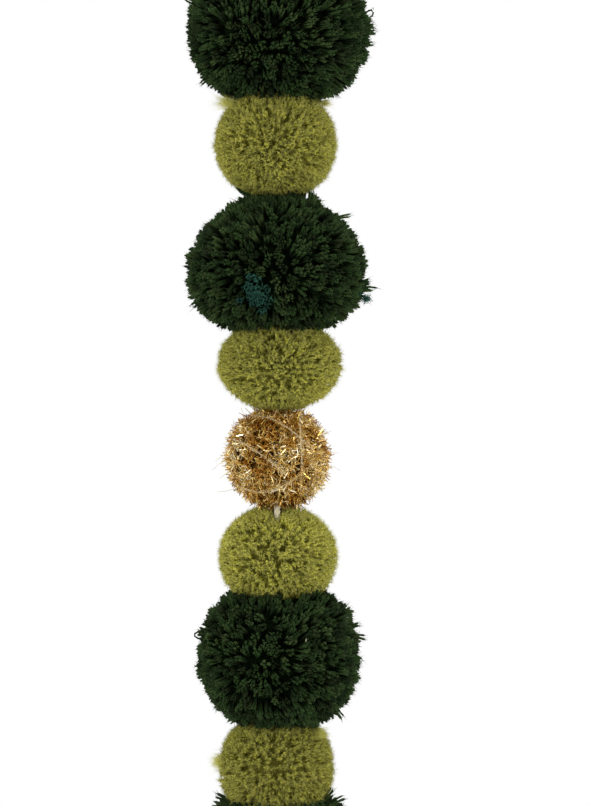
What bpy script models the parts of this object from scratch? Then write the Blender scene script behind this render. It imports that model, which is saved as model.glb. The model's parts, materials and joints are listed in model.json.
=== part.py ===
"""A pom pom garland: eight yarn pompoms and one tinsel ball threaded on a cotton cord.

For Blender 4.5, in metres, +Z up. The garland hangs down -Z from the crown of the loop
that is tied in the top of its cord, which is the origin. Run it with
    blender --background --python part.py
"""

import math
from collections import namedtuple

import bmesh
import bpy
from mathutils import Matrix, Vector, noise

# The cord, its hanging loop and its tail.
CORD_D = 0.0028
LOOP_DROP = 0.026
LOOP_HALF_WIDTH = 0.0065
LOOP_POINTS = 28
LOOP_SIDE_MOST = 4 * math.sqrt(3) / 9
FREE_CORD = 0.009
TAIL = 0.012
RUN_STEP = 3 * CORD_D

# The two barrel knots: turns of the cord side by side.
KNOT_TURNS = 3
KNOT_D = 0.0078
KNOT_SIDES = 14
TURN_HEIGHT = CORD_D * 0.92
TURN_STEPS = 4
TURN_GROOVE = CORD_D * 0.30
KNOT_HALF = KNOT_TURNS * TURN_HEIGHT / 2
TOP_KNOT = -LOOP_DROP - KNOT_HALF + CORD_D

# How the pieces keep clear of each other.
PIECE_GAP = 0.0003
DENT_GAP = 0.0009
DENT_MARGIN = 0.0020
BORE_R = CORD_D / 2 + 0.0004

# One row for each ball, from the top. Width is its full width. Above and below are the
# heights of its top and bottom over and under its widest place. Drop is how far that
# place hangs below the one of the ball before. A squareness of 2 is an ellipse, and more
# is a flatter crown, as where a neighbour squeezes the pile. Pit is the depth of the
# hollow in its crown where the cord shows, and locks is how many stand on it.
Ball = namedtuple("Ball", "name yarn width above below drop square_top square_base pit locks")
BALLS = (
    Ball("pompom_1_dark", "dark_yarn", 0.0765, 0.0310, 0.0335, 0.0000, 2.1, 2.3, 0, 52),
    Ball("pompom_2_light", "light_yarn", 0.0500, 0.0240, 0.0217, 0.0492, 3.4, 2.0, 0, 22),
    Ball("pompom_3_dark", "dark_yarn", 0.0758, 0.0360, 0.0262, 0.0529, 1.9, 2.0, 0, 42),
    Ball("pompom_4_light", "light_yarn", 0.0520, 0.0185, 0.0189, 0.0373, 2.3, 1.8, 0, 20),
    Ball("tinsel_ball", "tinsel", 0.0435, 0.0209, 0.0209, 0.0373, 2.1, 2.1, 0, 28),
    Ball("pompom_6_light", "light_yarn", 0.0492, 0.0213, 0.0213, 0.0402, 2.0, 2.0, 0.0034, 22),
    Ball("pompom_7_dark", "dark_yarn", 0.0680, 0.0336, 0.0303, 0.0418, 2.2, 2.2, 0, 42),
    Ball("pompom_8_light", "light_yarn", 0.0476, 0.0189, 0.0180, 0.0451, 3.3, 2.2, 0, 22),
    Ball("pompom_9_dark", "dark_yarn", 0.0700, 0.0344, 0.0303, 0.0385, 2.2, 2.2, 0, 50),
)
PIT_R = 0.009

# How each kind of ball is made. The firmer of two neighbours keeps its shape and dents
# the other. The cut ends of its locks reach the ball's full width. The bed that they
# stand in lies lower by bed, a share of the radius, and by up to relief more between its
# lumps, whose size is lump. A lock's tip is lock_tip times as wide as its root.
Make = namedtuple("Make", "firmness segments rings bed relief lump lock_tip")
MAKES = {
    "dark_yarn": Make(1, 30, 19, 0.010, 0.115, 0.0064, 0.70),
    "light_yarn": Make(2, 26, 16, 0.010, 0.120, 0.0042, 0.62),
    "tinsel": Make(3, 36, 20, 0.035, 0.085, 0.0040, 0.30),
}
LUMP_CONTRAST = 1.5
LUMP_SHIFT = 17.0

# Where a ball's locks stand: down from a free pole, or from one that a neighbour covers.
FREE_POLE = math.radians(18)
COVERED_POLE = math.radians(38)
CALM_MARGIN = math.radians(8)
CALM_WIDTH = math.radians(22)
GOLDEN_ANGLE = math.pi * (3 - math.sqrt(5))

# How unevenly the locks are cut and combed, as shares of the radius, and the turn of the
# wave that they follow from one lock to the next.
LOCK_UNEVEN = 0.012
LOCK_LEAN = 0.09
LOCK_TURN = 2.4
ROOM_FOR_LOCK = 1e-7

# The windings of the tinsel ball: the tilt and the turn of each one's plane, in degrees.
WINDINGS = ((8, 0), (52, 25), (64, 140), (83, 75), (38, 250), (74, 310), (58, 200))
WINDING_HALF_WIDTH = 0.11

SHARP_EDGE = math.radians(24)
SAME_POINT = 1e-6

Finish = namedtuple("Finish", "colour roughness metallic")
FINISHES = {
    "dark_yarn": Finish((0.020, 0.052, 0.014), 0.92, 0.0),
    "light_yarn": Finish((0.300, 0.270, 0.055), 0.92, 0.0),
    "tinsel": Finish((0.720, 0.430, 0.120), 0.32, 1.0),
    "cotton_cord": Finish((0.680, 0.640, 0.510), 0.85, 0.0),
}


def clear_scene():
    """Remove every object that the file opened with."""
    for old in list(bpy.data.objects):
        bpy.data.objects.remove(old)


def new_collection(name):
    """A collection in the scene, by name."""
    made = bpy.data.collections.new(name)
    bpy.context.scene.collection.children.link(made)
    return made


def material_for(slot):
    """A Principled material in the colour of the real piece."""
    finish = FINISHES[slot]
    material = bpy.data.materials.new(slot)
    material.use_nodes = True
    shader = material.node_tree.nodes["Principled BSDF"]
    shader.inputs["Base Color"].default_value = (*finish.colour, 1.0)
    shader.inputs["Roughness"].default_value = finish.roughness
    shader.inputs["Metallic"].default_value = finish.metallic
    return material


def centres():
    """The height of each ball's widest place."""
    height = TOP_KNOT - KNOT_HALF - FREE_CORD - BALLS[0].above
    found = []
    for ball in BALLS:
        height -= ball.drop
        found.append(height)
    return found


def polar_of(place):
    """The angle of a place from the top of the axis."""
    return math.acos(max(-1.0, min(1.0, place.normalized().z)))


def direction_at(polar, turn):
    """The unit vector at a polar angle and a turn round the axis."""
    across = math.sin(polar)
    return Vector((across * math.cos(turn), across * math.sin(turn), math.cos(polar)))


def crown_height(half_width, rise, square, radius):
    """How high a ball's surface stands over its widest place, at this distance from the axis."""
    share = min(radius / half_width, 1.0)
    return rise * (1 - share**square) ** (1 / square)


def half_of(ball, top):
    """(rise, squareness) of the upper or the lower half of a ball."""
    return (ball.above, ball.square_top) if top else (ball.below, ball.square_base)


def outline_point(ball, polar):
    """(distance from the axis, height over the widest place) of the outline at a polar angle."""
    top = polar < math.pi / 2
    rise, square = half_of(ball, top)
    out = ball.width / 2 * abs(math.sin(polar)) ** (2 / square)
    height = rise * abs(math.cos(polar)) ** (2 / square)
    return out, height if top else -height


def denting_neighbours(index):
    """(neighbour, height of its centre, 1 if it is above) for each firmer neighbour."""
    heights = centres()
    firmness = MAKES[BALLS[index].yarn].firmness
    found = []
    for other, side in ((index - 1, 1), (index + 1, -1)):
        if 0 <= other < len(BALLS) and MAKES[BALLS[other].yarn].firmness > firmness:
            found.append((BALLS[other], heights[other], side))
    return found


def dented(point, pit, neighbours):
    """The point moved up or down until it clears the firmer neighbours and the crown's pit."""
    radius = math.hypot(point.x, point.y)
    height = point.z
    for other, centre, side in neighbours:
        grown = other.width / 2 + DENT_MARGIN
        if radius >= grown:
            continue
        if side > 0:
            hollow = pit * max(0.0, 1 - (radius / PIT_R) ** 2)
            reach = crown_height(grown, other.below, other.square_base, radius)
            height = min(height, centre - reach - DENT_GAP - hollow)
        else:
            reach = crown_height(grown, other.above, other.square_top, radius)
            height = max(height, centre + reach + DENT_GAP)
    return Vector((point.x, point.y, height))


def free_zone(index):
    """The polar angles between which a ball's pile is free."""
    top = FREE_POLE if index == 0 else COVERED_POLE
    base = FREE_POLE if index == len(BALLS) - 1 else COVERED_POLE
    return top, math.pi - base


def calm(polar, index):
    """1 where a ball's pile is free, falling to 0 at its covered poles and its bore."""
    top, base = free_zone(index)
    inside = min(polar - top, base - polar) + CALM_MARGIN
    share = min(max(inside / CALM_WIDTH, 0.0), 1.0)
    return share * share * (3 - 2 * share)


def winding_planes():
    """The unit normals of the planes that the tinsel is wound in."""
    return [direction_at(math.radians(tilt), math.radians(turn)) for tilt, turn in WINDINGS]


def lump_depth(ball, make, direction, index):
    """How deep the bed lies here, from 0 on a lump's top to 1 between two lumps."""
    if ball.yarn == "tinsel":
        nearest = min(abs(direction.dot(normal)) for normal in winding_planes())
        return min(nearest / WINDING_HALF_WIDTH, 1.0) ** 2
    place = direction * (ball.width / 2 / make.lump) + Vector((0, 0, LUMP_SHIFT * index))
    return min(max(0.5 - LUMP_CONTRAST * noise.noise(place), 0.0), 1.0)


def bed_point(ball, make, index, polar, turn):
    """A point of the lumpy bed, in the ball's own frame."""
    out, height = outline_point(ball, polar)
    lumps = lump_depth(ball, make, direction_at(polar, turn), index)
    depth = calm(polar, index) * (make.bed + make.relief * lumps)
    return Vector((out * math.cos(turn), out * math.sin(turn), height)) * (1 - depth)


def add_bed(shape, ball, make, index):
    """A lumpy ball with a bore for the cord, in the ball's own frame."""
    bmesh.ops.create_uvsphere(
        shape, u_segments=make.segments, v_segments=make.rings, radius=1.0
    )
    poles = [v for v in shape.verts if math.hypot(v.co.x, v.co.y) < SAME_POINT]
    bmesh.ops.delete(shape, geom=poles, context="VERTS")
    bore_polar = 1.5 * math.pi / make.rings
    for vertex in shape.verts:
        polar = polar_of(vertex.co)
        turn = math.atan2(vertex.co.y, vertex.co.x)
        moved = bed_point(ball, make, index, polar, turn)
        if min(polar, math.pi - polar) < bore_polar:
            moved.x, moved.y = BORE_R * math.cos(turn), BORE_R * math.sin(turn)
        vertex.co = moved
    rims = [edge for edge in shape.edges if edge.is_boundary]
    bmesh.ops.bridge_loops(shape, edges=rims)


def to_outline(ball, place):
    """How many times further out than this place the ball's outline lies."""
    rise, square = half_of(ball, place.z > 0)
    across = math.hypot(place.x, place.y) / (ball.width / 2)
    up = abs(place.z) / rise
    return 1 / (across**square + up**square) ** (1 / square)


def lock_faces(shape, ball, index, neighbours, centre):
    """Faces spread evenly over the free side, no two of them with a common corner."""
    top, base = free_zone(index)
    hang = Vector((0, 0, centre))
    free = []
    for face in shape.faces:
        middle = face.calc_center_median()
        tip = middle * to_outline(ball, middle) + hang
        clear = (dented(tip, ball.pit, neighbours) - tip).length < ROOM_FOR_LOCK
        if clear and top < polar_of(middle) < base and math.hypot(*middle.xy) > 2 * BORE_R:
            free.append((face, middle.normalized()))
    chosen = []
    taken = set()
    step = 0
    while len(chosen) < ball.locks and step < 3 * ball.locks:
        share = (step + 0.5) / ball.locks % 1
        height = math.cos(top) + (math.cos(base) - math.cos(top)) * share
        wanted = direction_at(math.acos(height), step * GOLDEN_ANGLE)
        step += 1
        open_faces = [f for f in free if not taken & {v.index for v in f[0].verts}]
        if not open_faces:
            break
        nearest = max(open_faces, key=lambda found: found[1].dot(wanted))[0]
        chosen.append(nearest)
        taken |= {v.index for v in nearest.verts}
    return chosen


def add_locks(shape, ball, make, faces, index):
    """Draw each face out into a lock that leans a little and ends at the ball's full width."""
    drawn = bmesh.ops.extrude_discrete_faces(shape, faces=faces)["faces"]
    for number, face in enumerate(drawn):
        middle = face.calc_center_median()
        lean = LOCK_LEAN * math.sin(LOCK_TURN * number + index)
        combed = middle + Vector((-middle.y, middle.x, 0)) * lean
        cut = 1 + LOCK_UNEVEN * math.cos(LOCK_TURN * number)
        tip = combed * to_outline(ball, combed) * cut
        for vertex in face.verts:
            vertex.co = tip + (vertex.co - middle) * make.lock_tip


def make_ball(index, centre, materials, parts):
    """One pompom, or the tinsel ball: a bored bed and its locks as one solid."""
    ball = BALLS[index]
    make = MAKES[ball.yarn]
    neighbours = denting_neighbours(index)
    hang = Vector((0, 0, centre))
    shape = bmesh.new()
    add_bed(shape, ball, make, index)
    shape.verts.index_update()
    faces = lock_faces(shape, ball, index, neighbours, centre)
    add_locks(shape, ball, make, faces, index)
    for vertex in shape.verts:
        vertex.co = dented(vertex.co + hang, ball.pit, neighbours) - hang
    bmesh.ops.recalc_face_normals(shape, faces=shape.faces)
    mesh = bpy.data.meshes.new(ball.name)
    shape.to_mesh(mesh)
    shape.free()
    mesh.shade_smooth()
    mesh.set_sharp_from_angle(angle=SHARP_EDGE)
    mesh.materials.append(materials[ball.yarn])
    made = bpy.data.objects.new(ball.name, mesh)
    made.location = hang
    parts.objects.link(made)
    return made


def weld(mesh):
    """Join the loose caps of a tube, or the seam of a turned shape, and face it outwards."""
    shape = bmesh.new()
    shape.from_mesh(mesh)
    bmesh.ops.remove_doubles(shape, verts=shape.verts, dist=SAME_POINT)
    bmesh.ops.recalc_face_normals(shape, faces=shape.faces)
    shape.to_mesh(mesh)
    shape.free()


def as_mesh(drawn, name, helpers):
    """The evaluated shape of a curve or a turned profile, as a new object that joins cleanly."""
    bpy.context.view_layer.update()
    graph = bpy.context.evaluated_depsgraph_get()
    mesh = bpy.data.meshes.new_from_object(drawn.evaluated_get(graph))
    weld(mesh)
    made = bpy.data.objects.new(name, mesh)
    made.matrix_world = drawn.matrix_world
    helpers.objects.link(made)
    bpy.data.objects.remove(drawn)
    return made


def tube(name, points, cyclic, helpers):
    """A round cord through the points."""
    curve = bpy.data.curves.new(name, "CURVE")
    curve.dimensions = "3D"
    curve.bevel_depth = CORD_D / 2
    curve.bevel_resolution = 2
    curve.use_fill_caps = True
    spline = curve.splines.new("POLY")
    spline.points.add(len(points) - 1)
    for spot, point in zip(spline.points, points):
        spot.co = (*point, 1.0)
    spline.use_cyclic_u = cyclic
    drawn = bpy.data.objects.new(name + "_line", curve)
    helpers.objects.link(drawn)
    return as_mesh(drawn, name, helpers)


def knot(name, middle, helpers):
    """A barrel knot, turned from a profile with a ridge for each turn of the cord."""
    profile = [Vector((0, 0, KNOT_HALF))]
    for step in range(KNOT_TURNS * TURN_STEPS + 1):
        ridge = abs(math.sin(math.pi * step / TURN_STEPS))
        radius = KNOT_D / 2 - TURN_GROOVE * (1 - ridge)
        profile.append(Vector((radius, 0, KNOT_HALF - TURN_HEIGHT * step / TURN_STEPS)))
    profile.append(Vector((0, 0, -KNOT_HALF)))
    mesh = bpy.data.meshes.new(name)
    mesh.from_pydata(profile, [(i, i + 1) for i in range(len(profile) - 1)], [])
    drawn = bpy.data.objects.new(name + "_profile", mesh)
    helpers.objects.link(drawn)
    screw = drawn.modifiers.new("turned", "SCREW")
    screw.steps = screw.render_steps = KNOT_SIDES
    screw.use_merge_vertices = True
    screw.merge_threshold = 0.00005
    made = as_mesh(drawn, name, helpers)
    made.data.transform(Matrix.Translation((0, 0, middle)))
    return made


def loop_points():
    """The centre line of the hanging loop: a drop whose two ends meet in the top knot."""
    points = []
    for step in range(LOOP_POINTS):
        angle = 2 * math.pi * step / LOOP_POINTS
        down = (1 - math.cos(angle)) / 2
        side = math.sin(angle) * abs(math.cos(angle / 2)) / LOOP_SIDE_MOST
        points.append(Vector((LOOP_HALF_WIDTH * side, 0, -LOOP_DROP * down)))
    return points


def run_points(top, bottom):
    """Points down the straight run of the cord."""
    steps = math.ceil((top - bottom) / RUN_STEP)
    return [Vector((0, 0, top + (bottom - top) * i / steps)) for i in range(steps + 1)]


def make_cord(materials, parts, helpers):
    """The whole cord: its loop, top knot, straight run, end knot and tail as one solid."""
    end_of_stack = centres()[-1] - BALLS[-1].below
    end_knot = end_of_stack - PIECE_GAP - KNOT_HALF
    tail_end = end_knot - KNOT_HALF - TAIL
    run = tube("cord", run_points(TOP_KNOT, tail_end), False, helpers)
    others = [
        tube("loop", loop_points(), True, helpers),
        knot("top_knot", TOP_KNOT, helpers),
        knot("end_knot", end_knot, helpers),
    ]
    for other in others:
        other.hide_render = True
        other.display_type = "WIRE"
        join = run.modifiers.new("tied_" + other.name, "BOOLEAN")
        join.operation = "UNION"
        join.object = other
    run.data.materials.append(materials["cotton_cord"])
    parts.objects.link(run)
    helpers.objects.unlink(run)
    return run


def main():
    """Build the garland."""
    clear_scene()
    parts = new_collection("pom pom garland")
    helpers = new_collection("joined to the cord")
    materials = {slot: material_for(slot) for slot in FINISHES}
    for index, centre in enumerate(centres()):
        make_ball(index, centre, materials, parts)
    make_cord(materials, parts, helpers)


main()
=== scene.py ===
"""A pom pom garland: eight pompoms of cut yarn and a tinsel ball on a twisted cotton cord.

For Blender 4.5, in metres, +Z up. The garland hangs down -Z from the crown of its loop,
which is the origin, and -Y is the side that the camera sees. The file is laid out as an
add-on: sizes and colours are properties, each group of pieces has an operator of its own,
and a panel in the sidebar lists them.
"""

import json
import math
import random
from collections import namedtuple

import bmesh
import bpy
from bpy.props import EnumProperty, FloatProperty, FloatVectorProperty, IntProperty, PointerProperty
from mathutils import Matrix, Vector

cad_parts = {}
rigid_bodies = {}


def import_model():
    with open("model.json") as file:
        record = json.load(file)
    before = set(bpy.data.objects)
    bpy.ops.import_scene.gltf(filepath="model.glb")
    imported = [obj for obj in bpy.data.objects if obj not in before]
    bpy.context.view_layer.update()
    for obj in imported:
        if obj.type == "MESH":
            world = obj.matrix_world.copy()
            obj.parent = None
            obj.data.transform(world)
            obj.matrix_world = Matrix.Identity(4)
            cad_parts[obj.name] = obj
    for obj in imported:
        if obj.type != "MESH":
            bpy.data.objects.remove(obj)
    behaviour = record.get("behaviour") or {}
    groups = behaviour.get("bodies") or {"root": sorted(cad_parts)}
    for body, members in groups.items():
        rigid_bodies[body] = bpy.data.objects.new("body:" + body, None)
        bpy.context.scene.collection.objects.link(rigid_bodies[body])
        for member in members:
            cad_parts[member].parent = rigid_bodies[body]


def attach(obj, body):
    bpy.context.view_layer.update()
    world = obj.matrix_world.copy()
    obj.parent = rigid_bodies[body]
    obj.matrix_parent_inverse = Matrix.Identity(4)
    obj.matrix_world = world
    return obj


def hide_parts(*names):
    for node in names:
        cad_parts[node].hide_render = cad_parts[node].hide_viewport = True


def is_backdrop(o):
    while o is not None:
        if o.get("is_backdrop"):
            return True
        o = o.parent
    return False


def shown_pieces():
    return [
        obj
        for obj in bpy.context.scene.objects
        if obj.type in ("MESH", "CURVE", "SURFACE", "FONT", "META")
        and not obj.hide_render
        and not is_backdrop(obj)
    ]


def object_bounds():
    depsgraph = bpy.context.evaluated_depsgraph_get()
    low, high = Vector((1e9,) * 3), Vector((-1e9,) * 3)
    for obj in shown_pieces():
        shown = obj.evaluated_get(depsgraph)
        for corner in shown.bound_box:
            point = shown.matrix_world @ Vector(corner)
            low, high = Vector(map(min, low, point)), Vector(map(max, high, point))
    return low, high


bl_info = {
    "name": "Pom Pom Garland",
    "version": (1, 0, 0),
    "blender": (4, 5, 0),
    "location": "3D View > Sidebar > Garland",
    "description": "Dresses a garland of yarn pompoms and a tinsel ball on a cotton cord",
    "category": "Add Mesh",
}

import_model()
CAD_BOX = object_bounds()

# The frame's body and material slots, and what is added to a slot's name for its finish.
BODY = "root"
DARK = "dark_yarn"
LIGHT = "light_yarn"
GOLD = "tinsel"
COTTON = "cotton_cord"
LOOK = "_look"

MOST_TRIANGLES = 990_000

# The cord, its loop, its two knots and its tail. A knot's ends are tucked in to a share of
# its radius.
CORD_D = 0.0028
LOOP_DROP = 0.026
LOOP_HALF_WIDTH = 0.0065
LOOP_POINTS = 48
LOOP_SIDE_MOST = 4 * math.sqrt(3) / 9
KNOT_TURNS = 3
KNOT_STEPS = 16 * KNOT_TURNS
KNOT_D = 0.0078
KNOT_TUCK = 0.45
TURN_HEIGHT = CORD_D * 0.92
KNOT_HALF = KNOT_TURNS * TURN_HEIGHT / 2
TOP_KNOT = -LOOP_DROP - KNOT_HALF + CORD_D
FREE_CORD = 0.009
TAIL = 0.012
PIECE_GAP = 0.0003

# The cord's section: how many strands it has, how many points each, and half of how deep
# the grooves between them are, as a share of the radius.
STRANDS = 3
STRAND_POINTS = 4
GROOVE = 0.13

# The tied end of cord in the notch: (Y, height over the tinsel ball's bottom).
TIE_PATH = (
    (0.0, 0.0030), (-0.0048, 0.0022), (-0.0092, 0.0006), (-0.0114, -0.0014), (-0.0112, -0.0030),
    (-0.0086, -0.0048), (-0.0046, -0.0066),
)

# One row for each ball, from the top. Width is its full width. Above and below are the
# heights of its top and bottom over and under its widest place, and drop is how far that
# place hangs below the one of the ball before. A squareness of 2 is an ellipse, and more
# is a flatter crown. Shift is how far the pile stands off the cord to the right. Whorl_x
# and whorl_z say how far right of and above the widest place its yarn fans out from.
# Notch is the depth of the gap in its crown that bares the cord, and dim is how much darker
# its yarn's colour is made.
Ball = namedtuple(
    "Ball", "node yarn width above below drop square_top square_base shift whorl_x whorl_z notch dim"
)
BALLS = tuple(Ball(*row) for row in (
    ("pompom_1_dark", DARK, 0.0765, 0.0310, 0.0335, 0, 2.1, 2.3, 0.0004, -0.0066, -0.0062, 0, 0.0),
    ("pompom_2_light", LIGHT, 0.05, 0.024, 0.0226, 0.0492, 2.2, 1.9, -0.0008, -0.0016, 0.0008, 0, 0.02),
    ("pompom_3_dark", DARK, 0.0758, 0.036, 0.0262, 0.0529, 1.85, 2.05, -0.0004, -0.001, 0.002, 0, 0.0),
    ("pompom_4_light", LIGHT, 0.0508, 0.0196, 0.0189, 0.0373, 2.2, 1.75, 0.0008, 0.0004, -0.0016, 0, 0.0),
    ("tinsel_ball", GOLD, 0.0435, 0.0209, 0.0209, 0.0373, 2.3, 2.3, 0.0006, 0, 0, 0, 0.0),
    ("pompom_6_light", LIGHT, 0.0486, 0.0213, 0.0226, 0.0402, 2, 2, 0.0002, -0.0016, 0.0008, 0.0042, -0.1),
    ("pompom_7_dark", DARK, 0.068, 0.0336, 0.0303, 0.0418, 2.2, 2.2, 0.0006, -0.0041, -0.0004, 0, 0.0),
    ("pompom_8_light", LIGHT, 0.0466, 0.0222, 0.0206, 0.0451, 2.4, 2.4, -0.0004, -0.001, 0.002, 0, 0.17),
    ("pompom_9_dark", DARK, 0.07, 0.0328, 0.0303, 0.0385, 2.2, 2.2, 0.001, 0, 0, 0, 0.0),
))
FIRMNESS = {DARK: 1, LIGHT: 2, GOLD: 3}
TINSEL = [ball.yarn for ball in BALLS].index(GOLD)

# How far a pile reaches into the firmer ball above it and hangs over the one below, and
# half the width of the gap that bares the cord.
MINGLE_ABOVE = 0.0013
MINGLE_BELOW = 0.0028
NOTCH_HALF = 0.0036

# A place this deep inside a neighbour's outline, where its centre is 1 deep, is fully
# buried: this share of the yarn stands there, on a bed at this share of the radius, so that
# nothing shows between two balls.
BURIED_DEPTH = 0.22
BURIED_SHARE = 0.25
BURIED_ROOT = 0.96

# How much deeper the pile stands in front, where the yarn fans out from, and how sharply
# that ends.
WHORL_HOLLOW = 0.07
WHORL_SHARPNESS = 6
BED_SEGMENTS = 48
BED_RINGS = 30

# The photograph: the width of one of its pixels at the cord, the column of the cord, the
# row of the first ball's widest place, and the size of its frame.
PIXEL = 0.00041
CORD_COLUMN = 277.5
FIRST_BALL_ROW = 27
PHOTO_WIDTH = 589
PHOTO_HEIGHT = 806
SENSOR_MM = 36.0

# How one kind of yarn is cut and combed. Root is where the pile starts, as a share of the
# radius, and length is that of a usual end. Rings are the shares of an end's length where
# a ply has a ring of points. Gather is how far its plies lie from the yarn's own middle,
# twist their turn along an end, splay how much they open at the cut, and curl how far each
# bends aside. Fibres is how many loose ones leave an end, lowest and highest the shares of
# its length where they do, and rise how much they climb for what they spread. Uneven is a
# share of an end's length. Comb is how far clumps of ends lean together, over a place of
# comb_size, and jitter how far single ends lean. Clump is how much of an end's lightness
# it shares with the ends round it.
Yarn = namedtuple(
    "Yarn",
    "root length plies rings gather twist splay curl fibres lowest highest rise uneven comb comb_size"
    " jitter clump",
)
YARNS = {
    DARK: Yarn(
        root=0.80, length=0.0074, plies=5, rings=(0.0, 0.91, 1.0), gather=0.00058, twist=1.2,
        splay=0.80, curl=0.0006, fibres=12, lowest=0.62, highest=0.93, rise=(0.4, 2.6),
        uneven=0.36, comb=0.0054, comb_size=0.010, jitter=0.0014, clump=0.6,
    ),
    LIGHT: Yarn(
        root=0.83, length=0.0053, plies=3, rings=(0.0, 0.90, 1.0), gather=0.00034, twist=1.8,
        splay=0.70, curl=0.0008, fibres=18, lowest=0.66, highest=0.95, rise=(0.3, 2.0),
        uneven=0.07, comb=0.0013, comb_size=0.006, jitter=0.0005, clump=0.0,
    ),
}

# What chance picks for an end: its girth, and its cut, times how uneven the yarn is. A few
# are longer by a share of their length. Clump_size is the size of a patch of one lightness,
# and patch_edge how raggedly the teal wool ends. A tree picks from this many unlike ends or
# bristles, and a pile tries this many points in each square of its spacing.
GIRTH = (0.85, 1.18)
CUT = (-0.6, 0.4)
LONG_SHARE = 0.03
LONG_REACH = 0.2
CLUMP_SIZE = 0.0045
PATCH_EDGE = 0.14
END_KINDS = 8
POINTS_TRIED = 5.0

# The seeds of chance: the first pile's, the step to the next ball's, and the tinsel's.
FIRST_SEED = 100
SEED_STEP = 31
TINSEL_SEED = 5

# The tinsel's turns, as shares of the ball's radius: the core under them, how far out they
# are laid, the layers that they lie in and how far each slides off the middle. Then the
# points of a turn, over what distance and how far it wanders, how light its wire is, how
# far a bristle leans outward, and its size. The width of a bristle's tip and its thickness
# are shares of its width.
TINSEL_CORE = 0.80
TINSEL_LAID = 0.93
TINSEL_LAYERS = (0.90, 1.0)
TINSEL_SLIDE = 0.35
TURN_POINTS = 60
WANDER_SIZE = 0.012
WANDER = 0.0035
# How light the wire is, on the film's painted reflection from dark to highlight.
WIRE_SHADE = 0.62
BRISTLE_LIFT = (-0.2, 0.6)
BRISTLE_SIZE = (0.45, 1.2)
BRISTLE_TIP = 0.75
BRISTLE_THICKNESS = 0.35

# What stands off the balls or is caught in them, as the photograph shows it. The path of
# each stray is pixels of the photograph, from inside the pile to its tip, and nearer says
# how much closer than the cord it is.
Stray = namedtuple("Stray", "plies nearer path")
STRAYS = tuple(Stray(*row) for row in (
    (3, 0.004, ((355, 32), (366, 32), (376, 33))),
    (3, -0.003, ((354, 24), (366, 26), (375, 27))),
    (2, 0.002, ((354, 44), (366, 44), (374, 43))),
    (1, 0.003, ((360, 21), (368, 19), (373, 14), (371, 10), (365, 13))),
    (2, 0.003, ((214, 74), (206, 79), (200, 85))),
    (2, 0.000, ((198, 4), (190, 1), (184, -3))),
    (2, 0.009, ((262, 202), (250, 196), (242, 193), (236, 188))),
    (5, 0.008, ((308, 206), (310, 200), (311, 191))),
    (5, 0.007, ((312, 208), (313, 202), (314, 193))),
    (1, 0.003, ((330, 219), (341, 216), (351, 214))),
    (1, 0.003, ((332, 222), (341, 218), (350, 217))),
    (1, 0.002, ((356, 287), (368, 287), (378, 288))),
    (3, 0.004, ((350, 288), (362, 289), (373, 289))),
    (3, 0.004, ((252, 206), (244, 201), (237, 199))),
    (3, 0.004, ((306, 206), (314, 201), (321, 199))),
    (3, 0.000, ((352, 282), (362, 282), (370, 281))),
    (3, 0.002, ((206, 297), (198, 302), (191, 307))),
    (1, 0.002, ((212, 637), (202, 639), (195, 637), (195, 633), (202, 631), (212, 632))),
    (3, 0.003, ((344, 634), (356, 636), (366, 638))),
    (3, -0.002, ((342, 626), (352, 626), (360, 625))),
    (3, 0.002, ((344, 651), (354, 656), (362, 662))),
    (3, 0.004, ((343, 662), (352, 667), (359, 674))),
    (3, 0.002, ((334, 616), (342, 612), (349, 606))),
    (3, 0.003, ((330, 706), (337, 712), (343, 719))),
    (3, 0.003, ((240, 710), (234, 716), (229, 723))),
    (3, 0.002, ((212, 660), (204, 664), (195, 668))),
    (3, 0.006, ((240, 806), (226, 799), (215, 794))),
    (3, 0.004, ((236, 812), (224, 806), (212, 803))),
    (3, 0.006, ((316, 806), (326, 797), (334, 788))),
    (3, 0.006, ((322, 810), (334, 802), (345, 797))),
))
STRAY_STEPS = 7
STRAY_FIBRES = 6

# Clouds of short fibres: the ball that holds one, the middle and the two half sizes in
# pixels, the turn of its long side, how many fibres it has, their radius and length, and
# the side that they lean to: -1 for the left, and 0 for none.
Wool = namedtuple("Wool", "ball middle half turn fibres radius reach side")
LIGHT_TUFTS = tuple(Wool(*row) for row in (
    (1, (233, 103), (5.0, 4.0), 0, 480, 0.00004, 0.0060, -1),
    (1, (321, 103), (4.0, 3.0), 0, 200, 0.00004, 0.0040, 1),
    (7, (222, 762), (3.0, 7.0), 0, 520, 0.00004, 0.0036, -1),
    (7, (316, 733), (3.5, 4.0), 0, 240, 0.00004, 0.0040, 1),
))
TEAL_PATCH = Wool(2, (256, 294), (15.0, 8.5), math.radians(52), 240, 0.00016, 0.0018, 0)
TEAL_TUFT = Wool(2, (366, 299), (4.2, 3.4), 0, 340, 0.00009, 0.0014, 0)
LINT = Wool(6, (306, 640), (1.0, 0.6), 0, 4, 0.00010, 0.0010, 0)

# How deep the light tufts start and the lint lies, as shares of a ball's depth, how far
# forward and up a tuft leans, how far its fibres part, and how much paler the light and the
# teal tufts are painted, as painted light against the shade that they lie in. Teal_tuft_size
# is how far the yarn round the teal tuft is tinted, as a share of the patch's radius.
TUFT_SHARE = 0.97
LINT_SHARE = 1.01
TUFT_LEAN = (-0.1, 0.05)
TUFT_PARTING = 0.45
LIGHT_TUFT_PAINTED_LIGHT = -0.25
TEAL_TUFT_PAINTED_LIGHT = -0.6
TEAL_TUFT_SIZE = 0.4

# How much nearer than the cord the things at a ball's edge are.
EDGE_NEARER = 0.002
BRISTLE_NEARER = 0.001

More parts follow.
